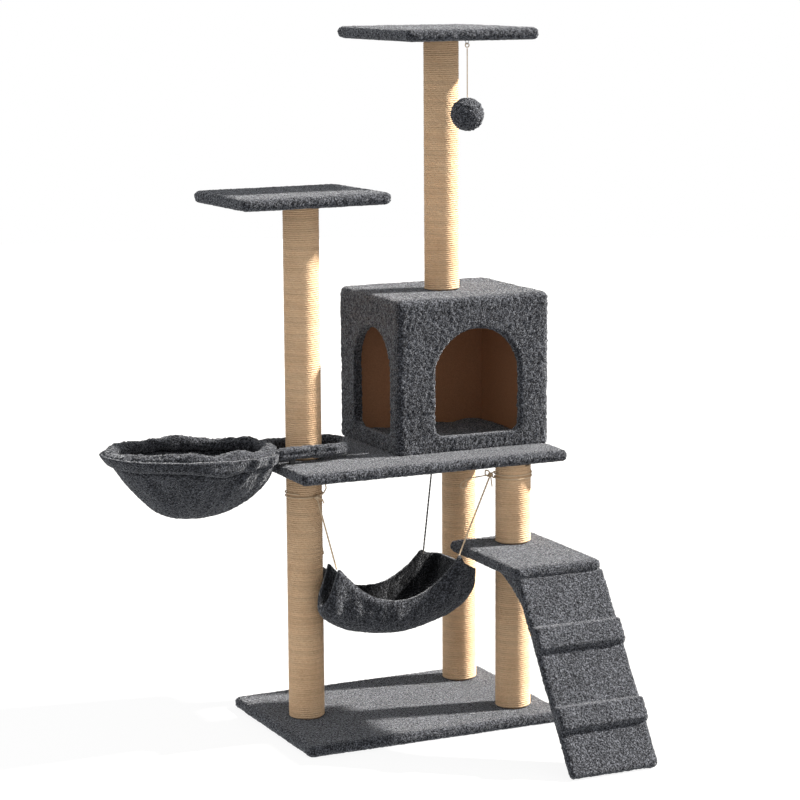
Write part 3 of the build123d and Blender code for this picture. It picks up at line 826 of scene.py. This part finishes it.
def knot(name, at, size, material):
    """A knot as three crossed turns of cord."""
    co, faces = [], []
    a = np.linspace(0, 2 * pi, 30, endpoint=False)
    flat = np.stack([np.cos(a) * size, np.sin(a) * size * 0.8, np.sin(a * 2) * size * 0.25], 1)
    for turn in range(3):
        spin = Matrix.Rotation(turn * 1.05, 3, (0.3, 1.0, 0.2)) @ Matrix.Rotation(turn * 0.8, 3, "X")
        turn_co, turn_faces = tube(flat @ np.array(spin), 1.45, closed=True, shape=strand)
        base = sum(len(c) for c in co)
        co.append(turn_co + np.array(at, float))
        faces += [tuple(v + base for v in f) for f in turn_faces]
    return add_mesh(name, np.concatenate(co) * MM, faces, material, "stand")


def post_ties():
    """The wraps round the posts, the knots and the cords' loose ends."""
    left_wrap = wound("left_post_wrap", LEFT_POST, 461, 1.6, 0.3, 7.0)
    wound("front_post_wrap", FRONT_POST, 484, 1.6, 2.4, 7.0)
    wound("back_post_wrap", BACK_POST, 505, 1.05, 1.0)
    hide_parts("hammock_post_loops")
    knots = [knot(f"{name}_knot", high, 4.2, material) for name, (_, high, material) in CORDS.items()]
    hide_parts("hammock_knots")
    front = CORDS["hammock_cord_front_right"][1]
    bow_r = 1.4
    left_bow = [(-6, -5, 9), (-14, -6, 12), (-15, -6, 3), (-7, -5, -2), (0, 0, 0)]
    right_bow = [(5, -7, 8), (11, -14, 7), (9, -15, -3), (3, -8, -5), (0, 0, 0)]
    loose("front_bow_left", front, left_bow, bow_r)
    loose("front_bow_right", front, right_bow, bow_r)
    loose("front_tail", front, [(-2, -7, -8), (-1, -9, -22)])
    along = [(-22, 0, -1), (-46, 0, -3), (-62, 0, -8)]
    curl = [(-67, 0, -17), (-59, 0, -23), (-51, 0, -16), (-55, 0, -9)]
    loose("front_curl", front, along + curl)
    left = CORDS["hammock_cord_front_left"][1]
    loose("left_tail_long", left, [(14, -1, 8), (21, 3, 16), (17, -1, 27)])
    loose("left_tail_short", left, [(9, -4, -3), (13, -4, -12)])
    back = CORDS["hammock_cord_back_right"][1]
    loose("back_tail", back, [(-3, -4, -14), (-2, -5, -30)])


# ---- Pompom --------------------------------------------------------------------------
def pompom():
    bpy.ops.mesh.primitive_ico_sphere_add(subdivisions=6, radius=(POMPOM_R - 1.5) * MM)
    ball = bpy.context.object
    ball.name = "pompom_plush"
    ball.data.transform(Matrix.Translation(Vector(POMPOM) * MM))
    ball.data.materials.append(PLUSH)
    ball.data.shade_smooth()
    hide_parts("pompom_ball")
    fluff(ball, rim=1.7, face=1.7, seed=21.0)
    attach(ball, "pompom")
    x, y, z = POMPOM
    high, low = POMPOM_TOP_Z, z + POMPOM_R
    curve = bpy.data.curves.new("pompom_line", "CURVE")
    curve.dimensions = "3D"
    spline = curve.splines.new("NURBS")
    spline.points.add(5)
    for n, point in enumerate(spline.points):
        h = high + (low - high) * n / 5
        point.co = (x * MM, y * MM, h * MM, 1.0)
    spline.order_u = 3
    spline.use_endpoint_u = True
    curve.bevel_depth = 0.001
    curve.bevel_resolution = 4
    curve.materials.append(JUTE)
    line = bpy.data.objects.new("pompom_line", curve)
    bpy.context.scene.collection.objects.link(line)
    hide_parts("pompom_cord")
    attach(line, "pompom")


# ---- Everything ----------------------------------------------------------------------
def slot_of(name):
    """The finish of a CAD node."""
    if name.endswith("_tube"):
        return "cardboard"
    if "plugs" in name or "cleats" in name:
        return "pine"
    if name.endswith("_wire") or name == "basket_clips":
        return "black_wire"
    if name.endswith(("_board", "_panel")):
        return "chipboard"
    if name.startswith(("post_", "ramp_hinge", "basket_clip", "house_screws", "pompom_staple")):
        return "zinc_steel"
    if name.startswith(("hammock_cord", "hammock_post", "hammock_knots", "pompom_cord", "pompom_tie")):
        return "jute_cord"
    if name.endswith("_sisal"):
        return "sisal"
    return "plush"


for name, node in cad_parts.items():
    node.data.materials.clear()
    node.data.materials.append(BY_SLOT[slot_of(name)])

deck("base", BASE, low=FLOOR_Z, seed=1.0)
deck("platform", MID, seed=2.0)
deck("step", STEP, seed=4.0)
deck("perch", PERCH, turn=PERCH_TURN, seed=6.0)
deck("top", TOP, seed=8.0)

sisal_post("left_lower_post", LEFT_POST, top_of(BASE), under(MID))
sisal_post("left_upper_post", LEFT_POST, top_of(MID), under(PERCH))
sisal_post("back_right_post", BACK_POST, top_of(BASE), under(MID))
sisal_post("front_right_lower_post", FRONT_POST, top_of(BASE), under(STEP))
sisal_post("front_right_upper_post", FRONT_POST, top_of(STEP), under(MID))
sisal_post("roof_post", ROOF_POST, HOUSE_ROOF_Z, under(TOP))

house()
floor_pad()
ramp()
ramp_gusset()
hinge_bead()
roll = basket_roll()
bag = basket_bag()
basket_sleeve()
cloth = hammock_cloth()
hammock_cords()
post_ties()
pompom()

# ---- Floor, light and camera -----------------------------------------------------------
bpy.ops.mesh.primitive_circle_add(vertices=96, radius=9, fill_type="NGON")
floor = bpy.context.object
floor.name = "studio_floor"
pale = bpy.data.materials.new("studio_floor")
pale.use_nodes = True
pale_inputs = pale.node_tree.nodes["Principled BSDF"].inputs
pale_inputs["Base Color"].default_value = (0.14, 0.14, 0.14, 1)
pale_inputs["Roughness"].default_value = 1.0
pale_inputs["Specular IOR Level"].default_value = 0.0
pale_inputs["Emission Color"].default_value = (1, 1, 1, 1)
pale_inputs["Emission Strength"].default_value = 0.88
floor.data.materials.append(pale)

world = bpy.data.worlds.new("studio")
bpy.context.scene.world = world
world.use_nodes = True
world.node_tree.nodes["Background"].inputs["Color"].default_value = (1.0, 1.0, 1.0, 1)
world.node_tree.nodes["Background"].inputs["Strength"].default_value = 0.78

bpy.ops.mesh.primitive_uv_sphere_add(segments=48, ring_count=24, radius=14)
backdrop = bpy.context.object
backdrop.name = "studio_backdrop"
white = bpy.data.materials.new("studio_backdrop")
white.use_nodes = True
tree = white.node_tree
glow = tree.nodes.new("ShaderNodeEmission")
glow.inputs["Strength"].default_value = 1.0
tree.links.new(glow.outputs[0], tree.nodes["Material Output"].inputs["Surface"])
backdrop.data.materials.append(white)
for seen in (backdrop, floor):
    seen.visible_diffuse = False
    seen.visible_glossy = False
    seen.visible_transmission = False
    seen.visible_shadow = False

sun = bpy.data.objects.new("key", bpy.data.lights.new("key", "SUN"))
sun.data.energy = 13.5
sun.data.angle = radians(3.5)
sun.data.color = (1.0, 0.95, 0.88)
sunlight = Vector((-0.760, 0.162, -0.629))
sun.rotation_mode = "QUATERNION"
sun.rotation_quaternion = sunlight.to_track_quat("-Z", "Y")
bpy.context.scene.collection.objects.link(sun)

CAMERA_AT = (-2.11195, -4.52294, 1.48069)
AZIMUTH, PITCH, ROLL = radians(-25.117), radians(9.616), radians(-0.3615)
LENS_MM, SENSOR_MM = 116.70, 36.0
lens = bpy.data.cameras.new("camera")
lens.lens = LENS_MM
lens.sensor_width = SENSOR_MM
lens.clip_end = 60
camera = bpy.data.objects.new("camera", lens)
bpy.context.scene.collection.objects.link(camera)
ahead = Vector((-sin(AZIMUTH) * cos(PITCH), cos(AZIMUTH) * cos(PITCH), -sin(PITCH)))
level_right = ahead.cross(Vector((0, 0, 1))).normalized()
level_up = level_right.cross(ahead)
right = level_right * cos(ROLL) + level_up * sin(ROLL)
above = -level_right * sin(ROLL) + level_up * cos(ROLL)
turn = Matrix((right, above, -ahead)).transposed().to_4x4()
camera.matrix_world = Matrix.Translation(CAMERA_AT) @ turn
bpy.context.scene.camera = camera
bpy.context.scene.view_settings.view_transform = "Standard"
